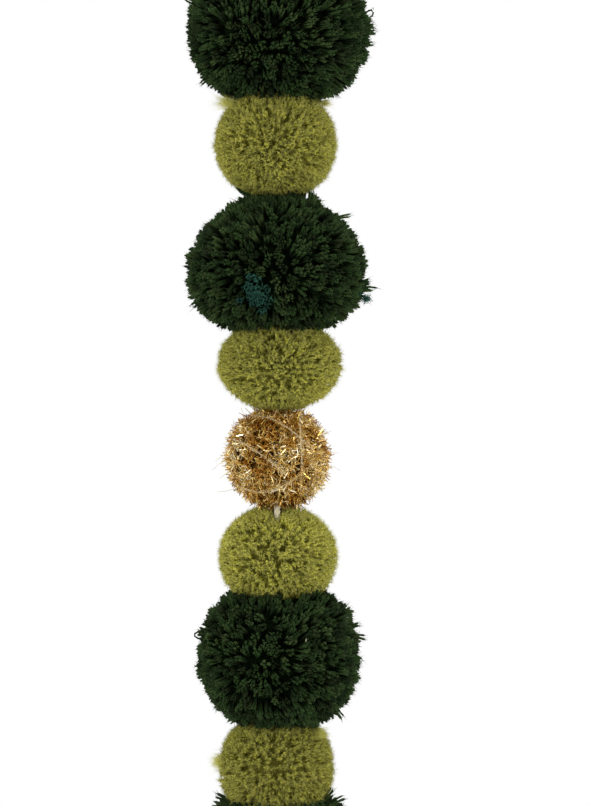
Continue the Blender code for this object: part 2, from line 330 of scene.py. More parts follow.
# Loose film hairs and longer bristles at the edge of the tinsel ball, and the turns of its
# tinsel that lie on top, all as pixels of the photograph.
HAIR_R = 0.00008
HAIRS = (
    ((236, 456), (222, 462), (211, 471)),
    ((234, 489), (226, 491), (217, 492)),
    ((234, 448), (224, 455), (214, 462)),
    ((322, 462), (332, 466), (341, 471)),
    ((322, 449), (331, 452), (339, 453)),
    ((242, 430), (237, 424), (232, 420)),
    ((262, 416), (257, 408), (255, 401)),
    ((248, 421), (243, 413), (241, 407)),
    ((318, 438), (326, 433), (332, 431)),
    ((318, 476), (326, 481), (331, 484)),
    ((238, 470), (227, 473), (219, 479)),
)
EDGE_BRISTLE_RADII = (0.00020, 0.00013)
EDGE_BRISTLES = (
    ((250, 423), (238, 420)),
    ((250, 418), (239, 413)),
    ((253, 416), (245, 408)),
    ((256, 412), (249, 405)),
    ((262, 410), (259, 403)),
    ((247, 428), (237, 426)),
    ((318, 436), (329, 433)),
    ((322, 465), (333, 469)),
    ((300, 499), (307, 505)),
)
TOP_TURNS = (
    ((300, 410), (300, 425), (301, 445), (302, 468), (300, 490)),
    ((229, 437), (242, 443), (256, 451), (270, 461), (284, 474)),
    ((235, 484), (248, 490), (264, 492), (280, 487), (296, 478), (312, 464)),
    ((252, 416), (266, 417), (280, 423), (296, 434), (312, 450)),
)

# A top turn has a spine of two wires that twist round each other, and bristles at each
# point. Its share is how deep it lies, as for the tufts.
TOP_SHARE = 0.995
TOP_STEPS = 70
SPINE_R = 0.00009
SPINE_OUT = 0.00018
SPINE_TWIST = 0.9
SPINE_TINT = 0.5
TOP_BRISTLES = 3
TOP_BRISTLE_R = 0.00011
TOP_BRISTLE_LENGTH = 0.0016
TOP_BRISTLE_TINT = 0.3
# Where the top turns sit on the film's painted reflection, near the painted highlight.
TOP_SHADE = 0.9

# How many points the floor's edge has, and its two greys.
FLOOR_POINTS = 96
FLOOR_GREYS = ((0.90, 0.90, 0.90, 1), (0.94, 0.94, 0.93, 1))

# Where the lights stand, by the setting that holds their power.
LIGHT_SIZE = 0.6
LIGHTS = {
    "key": Vector((-0.95, -1.15, 0.35)),
    "fill": Vector((1.15, -0.85, -0.15)),
    "top": Vector((0.05, -0.35, 0.95)),
}


def length(name, description, default):
    """A length in metres."""
    return FloatProperty(
        name=name, description=description, default=default, min=0.0, precision=5,
        subtype="DISTANCE", unit="LENGTH",
    )


def colour(name, description, default):
    """A linear RGB colour."""
    return FloatVectorProperty(
        name=name, description=description, default=default, size=3, min=0.0, max=1.0,
        subtype="COLOR",
    )


def amount(name, description, default, most=1.0):
    """A plain number from 0 up."""
    return FloatProperty(name=name, description=description, default=default, min=0.0, max=most)


def yarn_properties(**defaults):
    """The sizes and colours that each yarn has, at these defaults."""
    kinds = {
        "sheen": (amount, "How much the loose fibre catches the light"),
        "contrast": (amount, "How much one end is lighter than another"),
        "spacing": (length, "Distance between yarn ends at the cut"),
        "ply_radius": (length, "Radius of one ply of the yarn"),
        "fibre_radius": (length, "Radius of a loose fibre at its root"),
        "fibre_length": (length, "Length of a loose fibre"),
        "tip": (colour, "Colour of the cut ends"),
        # Root is painted shade: the yarn's colour darkened down in the pile.
        "root": (colour, "Colour down in the pile"),
        # Core is painted shade: the dark bed that shows between the ends.
        "core": (colour, "Colour of the tied middle"),
        "warm": (colour, "Colour of the paler ends"),
        # Loose is painted light: paler than the yarn, as thin fibres look with light through them.
        "loose": (colour, "Colour of the loose fibres"),
    }
    return {
        key: kind(key.replace("_", " ").title(), description, defaults[key])
        for key, (kind, description) in kinds.items()
    }


class DarkYarnSettings(bpy.types.PropertyGroup):
    """The bottle green yarn of the large pompoms"""

    __annotations__ = yarn_properties(
        sheen=0.12, contrast=0.55, spacing=0.00285, ply_radius=0.00060, fibre_radius=0.00010,
        fibre_length=0.0019, tip=(0.0186, 0.0410, 0.0102), root=(0.0170, 0.0360, 0.0094),
        core=(0.0090, 0.0180, 0.0060), warm=(0.0400, 0.0620, 0.0180), loose=(0.0600, 0.1000, 0.0330),
    )


class LightYarnSettings(bpy.types.PropertyGroup):
    """The moss green yarn of the small pompoms"""

    __annotations__ = yarn_properties(
        sheen=0.90, contrast=0.16, spacing=0.00215, ply_radius=0.00056, fibre_radius=0.00009,
        fibre_length=0.0027, tip=(0.475, 0.457, 0.070), root=(0.470, 0.450, 0.070),
        core=(0.240, 0.228, 0.037), warm=(0.470, 0.450, 0.100), loose=(0.560, 0.542, 0.135),
    )


class PatchSettings(bpy.types.PropertyGroup):
    """The teal wool caught in one dark pompom"""

    tint: colour("Tint", "Colour of the caught wool", (0.026, 0.096, 0.068))
    # Root is painted shade: the teal darkened down in the pile.
    root: colour("Root", "Colour of its lower part", (0.014, 0.050, 0.037))
    radius: length("Radius", "Radius of the patch", 0.0072)


class TinselSettings(bpy.types.PropertyGroup):
    """The wound gold tinsel"""

    windings: IntProperty(
        name="Windings", description="Turns of tinsel round the ball", default=48, min=1
    )
    wire_radius: length("Wire Radius", "Radius of the tinsel's twisted core", 0.00018)
    bristle_gap: length("Bristle Gap", "Distance between bristles along the core", 0.00037)
    bristle_length: length("Bristle Length", "Length of a cut bristle", 0.0032)
    bristle_width: length("Bristle Width", "Width of a cut bristle", 0.00048)
    # Bright is a painted highlight and dark a painted dark reflection on the gold film.
    bright: colour("Bright", "Colour of the lightest film", (1.000, 0.890, 0.600))
    gold: colour("Gold", "Usual colour of the film", (0.870, 0.605, 0.165))
    dark: colour("Dark", "Colour of the darkest film", (0.400, 0.170, 0.024))
    spine: colour("Spine", "Colour of the twisted spine of the top turns", (1.000, 0.700, 0.320))
    # Core is painted shade: the dark ball that shows between the tinsel's turns.
    core: colour("Core", "Colour of the ball under the tinsel", (0.090, 0.040, 0.008))


class CordSettings(bpy.types.PropertyGroup):
    """The twisted cotton cord"""

    pitch: length("Pitch", "Length of one full twist", 0.0075)
    step: length("Step", "Distance between rings along the cord", 0.0008)
    cotton: colour("Cotton", "Colour of the cotton", (0.970, 0.905, 0.650))
    # Shade is painted shade in the grooves between the strands.
    shade: colour("Shade", "Colour between the strands", (0.740, 0.660, 0.450))


class StageSettings(bpy.types.PropertyGroup):
    """The floor, the lights and the camera"""

    distance: length("Distance", "From the camera to the cord", 0.945)
    floor_drop: length("Floor Drop", "From the garland's end to the floor", 0.14)
    floor_radius: length("Floor Radius", "Radius of the floor", 1.15)
    ambient: amount("Ambient", "Light from the sides and from behind", 1.12, 5.0)
    ambient_front: amount("Ambient Front", "Light from the camera's side", 0.34, 5.0)
    key: amount("Key", "Power of the key light in watts", 6.0, 500.0)
    fill: amount("Fill", "Power of the fill light in watts", 4.5, 500.0)
    top: amount("Top", "Power of the top light in watts", 4.0, 500.0)


class GarlandSettings(bpy.types.PropertyGroup):
    """All settings of the garland"""

    dark_yarn: PointerProperty(type=DarkYarnSettings)
    light_yarn: PointerProperty(type=LightYarnSettings)
    patch: PointerProperty(type=PatchSettings)
    tinsel: PointerProperty(type=TinselSettings)
    cord: PointerProperty(type=CordSettings)
    stage: PointerProperty(type=StageSettings)


# Places on the garland


def centres():
    """The height of each ball's widest place."""
    height = TOP_KNOT - KNOT_HALF - FREE_CORD - BALLS[0].above
    found = []
    for ball in BALLS:
        height -= ball.drop
        found.append(height)
    return found


def camera_place(settings):
    """Where the camera stands: level, across from the middle of the photograph."""
    column = (PHOTO_WIDTH / 2 - CORD_COLUMN) * PIXEL
    row = (PHOTO_HEIGHT / 2 - FIRST_BALL_ROW) * PIXEL
    return Vector((column, -settings.distance, centres()[0] - row))


def photo_place(settings, column, row, nearer):
    """The point that a pixel of the photograph shows, this much nearer than the cord."""
    across = (column - CORD_COLUMN) * PIXEL
    down = (row - FIRST_BALL_ROW) * PIXEL
    on_cord = Vector((across, 0, centres()[0] - down))
    eye = camera_place(settings)
    return on_cord + (eye - on_cord) * (nearer / settings.distance)


def on_front(settings, index, column, row, share=1.0):
    """The point of a ball's front that a pixel of the photograph shows."""
    ball = BALLS[index]
    nearer = 0.0
    for _ in range(4):
        place = photo_place(settings, column, row, nearer)
        height = place.z - centres()[index]
        rise, square = half_of(ball, height > 0)
        round_share = max(0.0, 1 - abs(height / rise) ** square) ** (1 / square)
        depth_squared = (ball.width / 2 * round_share) ** 2 - (place.x - ball.shift) ** 2
        nearer = share * math.sqrt(max(0.0, depth_squared))
    return photo_place(settings, column, row, nearer)


def crown_height(half_width, rise, square, radius):
    """How high a ball's surface stands over its widest place, at this distance from the axis."""
    share = min(radius / half_width, 1.0)
    return rise * (1 - share**square) ** (1 / square)


def half_of(ball, top):
    """(rise, squareness) of the upper or the lower half of a ball."""
    return (ball.above, ball.square_top) if top else (ball.below, ball.square_base)


def outline_point(ball, polar):
    """(distance from the axis, height over the widest place) of the outline at a polar angle."""
    top = polar < math.pi / 2
    rise, square = half_of(ball, top)
    out = ball.width / 2 * abs(math.sin(polar)) ** (2 / square)
    height = rise * abs(math.cos(polar)) ** (2 / square)
    return out, height if top else -height


def neighbours_of(index):
    """(neighbour, height of its centre, 1 if it is above) for each neighbour of a ball."""
    heights = centres()
    sides = ((index - 1, 1), (index + 1, -1))
    return [(BALLS[i], heights[i], side) for i, side in sides if 0 <= i < len(BALLS)]


def dented(point, ball, neighbours):
    """The point moved up or down to where the firmer neighbours let the pile end."""
    radius = math.hypot(point.x, point.y)
    height = point.z
    for other, centre, side in neighbours:
        if FIRMNESS[other.yarn] <= FIRMNESS[ball.yarn] or radius >= other.width / 2:
            continue
        rise, square = half_of(other, side < 0)
        reach = crown_height(other.width / 2, rise, square, radius)
        if side < 0:
            height = max(height, centre + reach - MINGLE_BELOW)
            continue
        height = min(height, centre - reach + MINGLE_ABOVE)
        if ball.notch and point.y < 0:
            bank = min(1.0, abs(point.x) / NOTCH_HALF) ** 3
            height = min(height, centre - other.below - ball.notch * (1 - 2 * bank))
    return Vector((point.x, point.y, height))


def buried(point, neighbours):
    """How far a place of the pile's surface is hidden inside a neighbour, from 0 to 1."""
    deepest = 0.0
    for other, centre, _ in neighbours:
        above = point.z - centre
        rise, square = half_of(other, above > 0)
        across = math.hypot(point.x, point.y) / (other.width / 2)
        deepest = max(deepest, 1 - across**square - abs(above / rise) ** square)
    return min(1.0, deepest / BURIED_DEPTH)


# Node trees


def wire(tree, socket, value):
    """Give a socket its value: a number, a word, a data block or another node's socket."""
    if isinstance(value, bpy.types.NodeSocket):
        tree.links.new(value, socket)
    else:
        socket.default_value = value


def feed(tree, node, inputs):
    """Give a node's inputs their values, by name."""
    for name, value in inputs.items():
        wire(tree, node.inputs[name], value)


def add(tree, kind, inputs=(), **settings):
    """A node with its settings, and its inputs by name, or in order for a plain sequence."""
    node = tree.nodes.new(kind)
    for key, value in settings.items():
        setattr(node, key, value)
    if isinstance(inputs, dict):
        feed(tree, node, inputs)
        return node
    in_use = [socket for socket in node.inputs if socket.enabled]
    for socket, value in zip(in_use, inputs):
        wire(tree, socket, value)
    return node


def result(tree, kind, inputs=(), **settings):
    """The first result of a new node that its settings leave in use."""
    node = add(tree, kind, inputs, **settings)
    return next(socket for socket in node.outputs if socket.enabled)


def calc(tree, operation, *values):
    """A number worked out from others."""
    return result(tree, "ShaderNodeMath", values, operation=operation)


def vector(tree, operation, *values):
    """A vector worked out from others."""
    return result(tree, "ShaderNodeVectorMath", values, operation=operation)


def ramp(tree, value, low, high, least, most):
    """A value mapped smoothly from one range to another."""
    inputs = (value, low, high, least, most)
    return result(tree, "ShaderNodeMapRange", inputs, interpolation_type="SMOOTHSTEP")


def new_tree(name, sockets):
    """(tree, its inputs, its output) for a tree that makes one mesh, from input names by kind."""
    tree = bpy.data.node_groups.new(name, "GeometryNodeTree")
    for kind, labels in sockets.items():
        for label in labels:
            tree.interface.new_socket(label, in_out="INPUT", socket_type="NodeSocket" + kind)
    tree.interface.new_socket("Mesh", in_out="OUTPUT", socket_type="NodeSocketGeometry")
    given = tree.nodes.new("NodeGroupInput").outputs
    made = tree.nodes.new("NodeGroupOutput").inputs[0]
    return tree, given, made


def attribute(tree, name, kind="FLOAT"):
    """A named attribute of the geometry."""
    return result(tree, "GeometryNodeInputNamedAttribute", {"Name": name}, data_type=kind)


def chance(tree, low, high, seed, step=0, kind="FLOAT"):
    """A random value from low to high for each point or instance, a few steps on from a seed."""
    value = result(tree, "FunctionNodeRandomValue", (low, high), data_type=kind)
    feed(tree, value.node, {"Seed": calc(tree, "ADD", seed, step)})
    return value


def any_way(tree, reach, seed, step):
    """A random vector of up to this reach along each axis."""
    return chance(tree, (-reach,) * 3, (reach,) * 3, seed, step, "FLOAT_VECTOR")


def stored(tree, geometry, name, value, domain="INSTANCE"):
    """The geometry with a number kept on it under a name."""
    inputs = {"Geometry": geometry, "Name": name, "Value": value}
    return result(
        tree, "GeometryNodeStoreNamedAttribute", inputs, data_type="FLOAT", domain=domain
    )


def here(tree):
    """The place of each point."""
    return result(tree, "GeometryNodeInputPosition")


def noise(tree, size, detail):
    """The results of noise of this size, by place."""
    inputs = {"Vector": here(tree), "Scale": calc(tree, "DIVIDE", 1.0, size), "Detail": detail}
    return add(tree, "ShaderNodeTexNoise", inputs).outputs


def drift(tree, size, reach):
    """A vector that wanders smoothly from place to place, up to about reach each way."""
    centred = vector(tree, "SUBTRACT", noise(tree, size, 1.0)["Color"], (0.5, 0.5, 0.5))
    return vector(tree, "SCALE", centred, calc(tree, "MULTIPLY", reach, 2.0))


def painted(tree, geometry, material):
    """The geometry with its instances made real, in one material."""
    real = result(tree, "GeometryNodeRealizeInstances", {"Geometry": geometry})
    return result(tree, "GeometryNodeSetMaterial", {"Geometry": real, "Material": material})


def joined(tree, *geometries):
    """Several geometries as one."""
    node = tree.nodes.new("GeometryNodeJoinGeometry")
    for geometry in geometries:
        tree.links.new(geometry, node.inputs[0])
    return node.outputs[0]


def without(tree, geometry, *names):
    """The geometry without the attributes of these names."""
    for name in names:
        inputs = {"Geometry": geometry, "Name": name}
        geometry = result(tree, "GeometryNodeRemoveAttribute", inputs)
    return geometry


def picked(tree, collection, points, rotation, scale, seed, step):
    """One of the collection's objects on each point, picked by chance."""
    inputs = {"Collection": collection, "Separate Children": True, "Reset Children": True}
    return result(tree, "GeometryNodeInstanceOnPoints", {
        "Points": points,
        "Instance": result(tree, "GeometryNodeCollectionInfo", inputs),
        "Pick Instance": True,
        "Instance Index": chance(tree, 0, END_KINDS - 1, seed, step, "INT"),
        "Rotation": rotation,
        "Scale": scale,
    })


def aimed(tree, direction, seed, step):
    """A rotation that turns +Z to the direction, with a chance turn about it."""
    inputs = {"Z": chance(tree, 0.0, 2 * math.pi, seed, step)}
    turn = result(tree, "ShaderNodeCombineXYZ", inputs)
    start = result(tree, "FunctionNodeEulerToRotation", {"Euler": turn})
    inputs = {"Rotation": start, "Vector": direction}
    return result(tree, "FunctionNodeAlignRotationToVector", inputs, axis="Z")


def pile_tree():
    """Cut yarn on a bed: each end stands along the bed's reach, combed and unevenly cut."""
    tree, given, made = new_tree("cut pile", {
        "Geometry": ("Bed",),
        "Collection": ("Ends",),
        "Float": (
            "Spacing", "Unevenness", "Comb", "Comb Size", "Jitter", "End Length", "Long Share",
            "Long Reach", "Dim", "Clump", "Clump Size",
        ),
        "Int": ("Seed",),
        "Material": ("Yarn", "Core"),
    })
    seed = given["Seed"]
    spacing = given["Spacing"]
    area = calc(tree, "MULTIPLY", spacing, spacing)
    points = result(tree, "GeometryNodeDistributePointsOnFaces", {
        "Mesh": given["Bed"],
        "Distance Min": spacing,
        "Density Max": calc(tree, "DIVIDE", POINTS_TRIED, area),
        "Density Factor": attribute(tree, "cover"),
        "Seed": seed,
    }, distribute_method="POISSON")
    reach = attribute(tree, "reach", "FLOAT_VECTOR")
    lean = vector(tree, "SCALE", any_way(tree, 1.0, seed, 11), given["Jitter"])
    combed = vector(tree, "ADD", drift(tree, given["Comb Size"], given["Comb"]), lean)
    direction = vector(tree, "ADD", reach, combed)
    shorter = calc(tree, "MULTIPLY", chance(tree, *CUT, seed, 12), given["Unevenness"])
    strays = calc(tree, "LESS_THAN", chance(tree, 0.0, 1.0, seed, 19), given["Long Share"])
    extra = calc(tree, "MULTIPLY_ADD", strays, given["Long Reach"], 1.0)
    tall = calc(tree, "MULTIPLY", vector(tree, "LENGTH", reach), calc(tree, "ADD", extra, shorter))
    stretch = calc(tree, "DIVIDE", tall, given["End Length"])
    girth = chance(tree, *GIRTH, seed, 13)
    scale = result(tree, "ShaderNodeCombineXYZ", (girth, girth, stretch))
    ends = picked(tree, given["Ends"], points, aimed(tree, direction, seed, 14), scale, seed, 15)
    alone = chance(tree, 0.0, 1.0, seed, 16)
    shared = ramp(tree, noise(tree, given["Clump Size"], 0.0)["Fac"], 0.35, 0.65, 0.0, 1.0)
    apart = calc(tree, "SUBTRACT", shared, alone)
    near = calc(tree, "ADD", attribute(tree, "patch"), chance(tree, -PATCH_EDGE, PATCH_EDGE, seed, 18))
    for name, value in (
        ("shade", calc(tree, "MULTIPLY_ADD", apart, given["Clump"], alone)),
        ("tint", chance(tree, 0.0, 1.0, seed, 17)),
        ("dim", given["Dim"]),
        ("teal", calc(tree, "GREATER_THAN", near, 0.5)),
    ):
        ends = stored(tree, ends, name, value)
    # The bed takes the core's painted shade.
    bed = painted(tree, given["Bed"], given["Core"])
    pile = joined(tree, bed, painted(tree, ends, given["Yarn"]))
    tree.links.new(without(tree, pile, "reach", "cover", "patch"), made)
    return tree


def tinsel_tree():
    """Turns of tinsel wound over a core ball, each a thin wire set with cut bristles."""
    tree, given, made = new_tree("wound tinsel", {
        "Geometry": ("Core Ball",),
        "Collection": ("Bristles",),
        "Int": ("Windings", "Seed"),
        "Vector": ("Centre",),
        "Float": ("Radius", "Wire Radius", "Bristle Gap"),
        "Material": ("Film", "Core"),
    })
    seed = given["Seed"]
    centre = given["Centre"]
    radius = given["Radius"]
    circle = {"Resolution": TURN_POINTS, "Radius": radius}
    turn = chance(tree, (0.0, 0.0, 0.0), (6.28, 6.28, 6.28), seed, 0, "FLOAT_VECTOR")
    turns = result(tree, "GeometryNodeInstanceOnPoints", {
        "Points": result(
            tree, "GeometryNodePoints", {"Count": given["Windings"], "Position": centre}
        ),
        "Instance": result(tree, "GeometryNodeCurvePrimitiveCircle", circle),
        "Rotation": result(tree, "FunctionNodeEulerToRotation", {"Euler": turn}),
    })
    turns = stored(tree, turns, "layer", chance(tree, *TINSEL_LAYERS, seed, 21))
    turns = result(tree, "GeometryNodeTranslateInstances", {
        "Instances": turns,
        "Translation": vector(tree, "SCALE", any_way(tree, TINSEL_SLIDE, seed, 22), radius),
        "Local Space": False,
    })
    turns = result(tree, "GeometryNodeRealizeInstances", {"Geometry": turns})
    wandering = vector(tree, "ADD", here(tree), drift(tree, WANDER_SIZE, WANDER))
    outward = vector(tree, "NORMALIZE", vector(tree, "SUBTRACT", wandering, centre))
    far = calc(tree, "MULTIPLY", radius, attribute(tree, "layer"))
    laid = vector(tree, "ADD", centre, vector(tree, "SCALE", outward, far))
    turns = result(tree, "GeometryNodeSetPosition", {"Geometry": turns, "Position": laid})
    circle = {"Resolution": 3, "Radius": given["Wire Radius"]}
    profile = result(tree, "GeometryNodeCurvePrimitiveCircle", circle)
    wires = result(tree, "GeometryNodeCurveToMesh", {"Curve": turns, "Profile Curve": profile})
    wires = stored(tree, wires, "shade", WIRE_SHADE, "POINT")
    inputs = {"Curve": turns, "Length": given["Bristle Gap"]}
    roots = result(tree, "GeometryNodeCurveToPoints", inputs, mode="LENGTH")
    up = vector(tree, "NORMALIZE", vector(tree, "SUBTRACT", here(tree), centre))
    up = vector(tree, "SCALE", up, chance(tree, *BRISTLE_LIFT, seed, 24))
    direction = vector(tree, "ADD", up, any_way(tree, 1.0, seed, 23))
    rotation = aimed(tree, direction, seed, 26)
    size = chance(tree, *BRISTLE_SIZE, seed, 25)
    bristles = picked(tree, given["Bristles"], roots, rotation, size, seed, 27)
    bristles = stored(tree, bristles, "shade", chance(tree, 0.0, 1.0, seed, 28))
    # The core ball takes the core's painted shade.
    core = painted(tree, given["Core Ball"], given["Core"])
    film = painted(tree, joined(tree, wires, bristles), given["Film"])
    tree.links.new(without(tree, joined(tree, core, film), "layer"), made)
    return tree


def cord_tree():
    """A twisted cord of a few strands along the edges of a mesh."""
    tree, given, made = new_tree("twisted cord", {
        "Geometry": ("Line",), "Float": ("Radius", "Pitch", "Step"), "Material": ("Cotton",),
    })
    line = result(tree, "GeometryNodeMeshToCurve", {"Mesh": given["Line"]})
    inputs = {"Curve": line, "Length": given["Step"]}
    even = result(tree, "GeometryNodeResampleCurve", inputs, mode="LENGTH")
    along = add(tree, "GeometryNodeSplineParameter").outputs["Length"]
    turn = calc(tree, "MULTIPLY", calc(tree, "DIVIDE", along, given["Pitch"]), 2 * math.pi)
    wound = result(tree, "GeometryNodeSetCurveTilt", {"Curve": even, "Tilt": turn})
    circle = {"Resolution": STRANDS * STRAND_POINTS, "Radius": given["Radius"]}
    ring = result(tree, "GeometryNodeCurvePrimitiveCircle", circle)
    number = result(tree, "GeometryNodeInputIndex")
    turn = calc(tree, "MULTIPLY", number, 2 * math.pi / STRAND_POINTS)
    lobe = calc(tree, "MULTIPLY_ADD", calc(tree, "COSINE", turn), GROOVE, 1 - GROOVE)
    inputs = {"Geometry": ring, "Position": vector(tree, "SCALE", here(tree), lobe)}
    strands = result(tree, "GeometryNodeSetPosition", inputs)
    strands = stored(tree, strands, "crest", lobe, "POINT")
    inputs = {"Curve": wound, "Profile Curve": strands, "Fill Caps": True}
    rope = result(tree, "GeometryNodeCurveToMesh", inputs)
    tree.links.new(painted(tree, rope, given["Cotton"]), made)
    return tree


def apply_tree(body, tree, values):
    """Run a tree on an object with these inputs, and keep the result as its plain mesh."""
    names = {item.name: item.identifier for item in tree.interface.items_tree if item.in_out == "INPUT"}
    modifier = body.modifiers.new("made", "NODES")
    modifier.node_group = tree
    for name, value in values.items():
        modifier[names[name]] = value
    bpy.context.view_layer.update()
    graph = bpy.context.evaluated_depsgraph_get()
    mesh = bpy.data.meshes.new_from_object(body.evaluated_get(graph))
    if mesh.materials and mesh.materials[0] is None:
        mesh.materials.pop(index=0)
    body.modifiers.remove(modifier)
    body.data = mesh


# Materials


def new_material(name):
    """(material, its tree, its shader)."""
    material = bpy.data.materials.new(name)
    material.use_nodes = True
    tree = material.node_tree
    return material, tree, tree.nodes["Principled BSDF"]


def mixed(tree, factor, first, second):
    """Two colours mixed."""
    return result(tree, "ShaderNodeMix", (factor, first, second), data_type="RGBA")


def paint(rgb):
    """A colour property with its alpha."""
    return (*rgb, 1.0)


def mesh_value(tree, name):
    """A number kept on the mesh under a name, for a shader."""
    return add(tree, "ShaderNodeAttribute", attribute_name=name).outputs["Fac"]


def grain(tree, size, detail=2.0):
    """Noise of this size in the object's own space, from 0 to 1."""
    place = add(tree, "ShaderNodeTexCoord").outputs["Object"]
    inputs = {"Vector": place, "Scale": 1 / size, "Detail": detail, "Roughness": 0.6}
    return add(tree, "ShaderNodeTexNoise", inputs).outputs["Fac"]


def bumped(tree, height, distance, strength):
    """A normal raised by a height pattern."""
    inputs = {"Height": height, "Distance": distance, "Strength": strength}
    return result(tree, "ShaderNodeBump", inputs)


def yarn_material(slot, settings, patch):
    """Cut wool: each end a little different, painted shade at its root, paler painted light on its loose
    fibres, and some of it teal.
    """
    material, tree, shader = new_material(slot + LOOK)
    # Painted shade: along runs from the darker root colour down in the pile to the tip colour.
    along = ramp(tree, mesh_value(tree, "along"), 0.1, 0.9, 0.0, 1.0)
    warmth = ramp(tree, mesh_value(tree, "tint"), 0.45, 1.0, 0.0, 0.8)
    tips = mixed(tree, warmth, paint(settings.tip), paint(settings.warm))
    base = mixed(tree, along, paint(settings.root), tips)
    # Painted light: the loose fibres take the paler loose colour.
    base = mixed(tree, mesh_value(tree, "fuzz"), base, paint(settings.loose))
    # The teal also darkens to its root colour down in the pile, as painted shade.
    caught = mixed(tree, along, paint(patch.root), paint(patch.tint))
    base = mixed(tree, mesh_value(tree, "teal"), base, caught)
    spread = settings.contrast
    light = ramp(tree, mesh_value(tree, "shade"), 0.0, 1.0, 1 - spread, 1 + spread)
    light = calc(tree, "MULTIPLY", light, calc(tree, "SUBTRACT", 1.0, mesh_value(tree, "dim")))
    mottled = calc(tree, "MULTIPLY", light, ramp(tree, grain(tree, 0.0007), 0.25, 0.75, 0.80, 1.20))
    feed(tree, shader, {
        "Base Color": vector(tree, "SCALE", base, mottled),
        "Roughness": 0.92,
        "Specular IOR Level": 0.15,
        "Sheen Weight": settings.sheen,
        "Sheen Roughness": 0.5,
        "Sheen Tint": paint(settings.warm),
        "Normal": bumped(tree, grain(tree, 0.00035, 3.0), 0.00015, 0.6),
    })
    return material


def shade_core_material(slot, rgb):
    """The shaded middle of a ball, seen only between its ends."""
    material, tree, shader = new_material(slot + "_core")
    # Its colour is painted shade, mottled darker at random by grain.
    dark = [part * 0.55 for part in rgb]
    feed(tree, shader, {
        "Base Color": mixed(tree, grain(tree, 0.0015), paint(dark), paint(rgb)),
        "Roughness": 1.0,
        "Specular IOR Level": 0.0,
        "Normal": bumped(tree, grain(tree, 0.0008, 3.0), 0.0004, 1.0),
    })
    return material


def film_material(settings):
    """Metallised film, all of it shiny: each bristle painted lighter or darker as painted reflection."""
    material, tree, shader = new_material(GOLD + LOOK)
    # Painted reflection: shade, moved by random zones, runs from dark through gold to highlight.
    zones = ramp(tree, grain(tree, 0.011), 0.3, 0.7, -0.30, 0.26)
    shade = calc(tree, "ADD", mesh_value(tree, "shade"), zones)
    usual = ramp(tree, shade, 0.0, 0.45, 0.0, 1.0)
    base = mixed(tree, usual, paint(settings.dark), paint(settings.gold))
    base = mixed(tree, ramp(tree, shade, 0.5, 0.95, 0.0, 1.0), base, paint(settings.bright))
    tint = mesh_value(tree, "tint")
    feed(tree, shader, {
        "Base Color": mixed(tree, tint, base, paint(settings.spine)),
        "Metallic": calc(tree, "SUBTRACT", 1.0, tint),
        "Roughness": ramp(tree, grain(tree, 0.0009), 0.3, 0.7, 0.12, 0.34),
        "Normal": bumped(tree, grain(tree, 0.0005), 0.0001, 0.35),
    })
    return material


def cotton_material(settings):
    """Unbleached cotton, paler on the strands' crests, painted shade in the grooves, fine fibre along
    them.
    """
    material, tree, shader = new_material(COTTON + LOOK)
    # Painted shade: the grooves between the crests take the shade colour.
    crest = ramp(tree, mesh_value(tree, "crest"), 0.74, 0.98, 0.0, 1.0)
    base = mixed(tree, crest, paint(settings.shade), paint(settings.cotton))
    fibre = ramp(tree, grain(tree, 0.0004, 4.0), 0.3, 0.7, 0.85, 1.1)
    feed(tree, shader, {
        "Base Color": vector(tree, "SCALE", base, fibre),
        "Roughness": 0.9,
        "Sheen Weight": 0.3,
        "Normal": bumped(tree, grain(tree, 0.00025, 3.0), 0.00012, 0.7),
    })
    return material


# Meshes


class Shape:
    """Faces gathered for one mesh, with the numbers that its material reads at each point."""

    def __init__(self, *names):
        self.points = []
        self.faces = []
        self.values = {name: [] for name in names}

    def ring(self, middle, tangent, radius, sides, values):
        """Points round a middle, square to the tangent."""
        start = len(self.points)
        aside = Vector((1, 0, 0)) if abs(tangent.x) < 0.8 else Vector((0, 1, 0))
        first = (aside - tangent * aside.dot(tangent)).normalized()
        second = tangent.cross(first)
        for step in range(sides):
            angle = 2 * math.pi * step / sides
            self.add(middle + (first * math.cos(angle) + second * math.sin(angle)) * radius, values)
        return range(start, start + sides)

    def add(self, point, values):
        """One point and its values."""
        self.points.append(point)
        for name, kept in self.values.items():
            kept.append(values.get(name, 0.0))

    def sweep(self, line, radii, alongs, sides=3, **values):
        """A closed tube through the points of a line, pointed where its last radius is 0."""
        rings = []
        last = len(line) - 1
        for step, (middle, radius, along) in enumerate(zip(line, radii, alongs)):
            values["along"] = along
            if step == last and radius == 0:
                self.add(middle, values)
                rings.append([len(self.points) - 1] * sides)
                continue
            tangent = (line[min(step + 1, last)] - line[max(step - 1, 0)]).normalized()
            rings.append(self.ring(middle, tangent, radius, sides, values))
        for low, high in zip(rings, rings[1:]):
            for side in range(sides):
                after = (side + 1) % sides
                face = [low[side], low[after], high[after], high[side]]
                self.faces.append(face[:3] if high[after] == high[side] else face)
        self.faces.append(list(rings[0])[::-1])
        if radii[-1] > 0:
            self.faces.append(list(rings[-1]))

    def mesh(self, name):
        """The gathered faces as a smooth mesh."""
        return closed_mesh(name, self.points, self.faces, self.values)


def closed_mesh(name, points, faces, values):
    """A smooth mesh that keeps these lists of numbers for its points."""
    made = bpy.data.meshes.new(name)
    made.from_pydata(points, [], faces)
    for key, kept in values.items():
        made.attributes.new(key, "FLOAT", "POINT").data.foreach_set("value", kept)
    made.shade_smooth()
    return made


def hair_shape():
    """A shape for strays, with every number that a yarn or a film reads."""
    return Shape("along", "fuzz", "shade", "tint", "teal", "dim")


def bmesh_mesh(name, shape):
    """A mesh of a bmesh, which is freed."""
    made = bpy.data.meshes.new(name)
    shape.to_mesh(made)
    shape.free()
    return made


